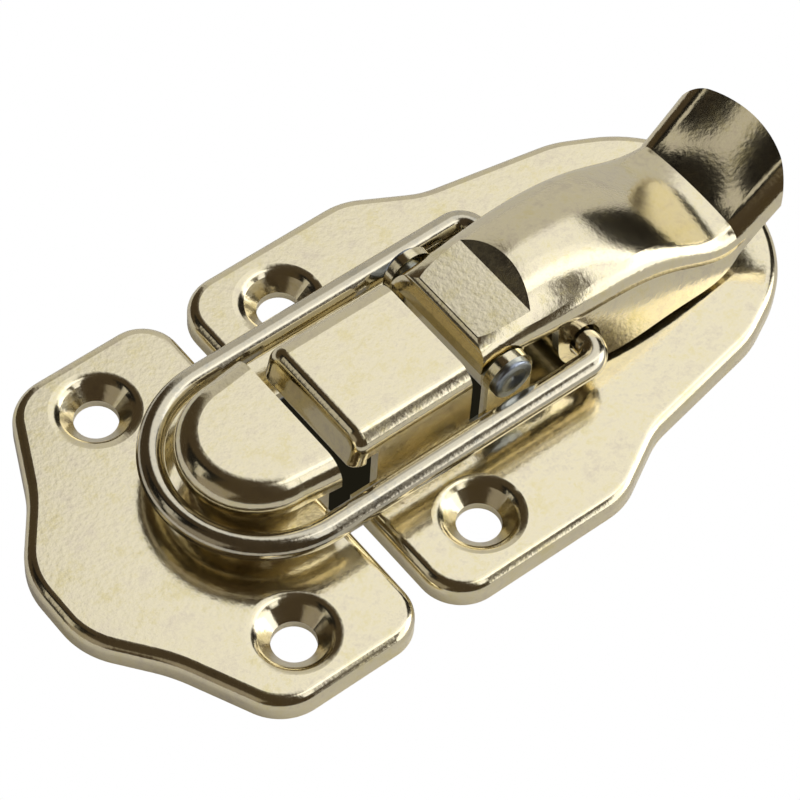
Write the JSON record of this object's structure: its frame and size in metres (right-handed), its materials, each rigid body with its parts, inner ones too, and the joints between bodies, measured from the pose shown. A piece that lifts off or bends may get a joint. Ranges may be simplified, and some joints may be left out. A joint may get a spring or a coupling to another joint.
{
  "type": "draw latch",
  "caption": "Pressed brass-plated draw latch: hook plate, base plate with raised tunnel and ears, riveted lever with lifted tab, and wire loop that draws the two plates together.",
  "frame": {"origin": "midway between the base plate's two screw holes, on the mounting face", "axes": "+X from the hook plate towards the lever's tab, +Y across the plates along each row of holes, +Z out of the surface that the latch is screwed to"},
  "size_m": [0.0786, 0.0412, 0.0132],
  "materials": {
    "brass_plate": "bright brass plating on pressed steel sheet, polished",
    "brass_wire": "bright brass plating on drawn steel wire, polished",
    "steel_rivet": "plain steel rivet, bluish, satin"
  },
  "bodies": {
    "plates": {"base_plate": "brass_plate", "hook_plate": "brass_plate", "pivot_pin": "steel_rivet"},
    "lever": {"lever": "brass_plate"},
    "loop": {"draw_loop": "brass_wire"}
  },
  "joints": [
    {"name": "lever_hinge", "type": "hinge", "parent": "plates", "child": "lever", "pos_m": [0.0087, 0, 0.0077], "axis": [0, -1, 0], "range_deg": [0, 90]},
    {"name": "loop_hinge", "type": "hinge", "parent": "lever", "child": "loop", "pos_m": [0.0175, 0, 0.006], "axis": [0, -1, 0], "range_deg": [-76.5, 0]}
  ],
  "couplings": [
    {"joint": "loop_hinge", "follows": "lever_hinge", "ratio": -0.85}
  ]
}
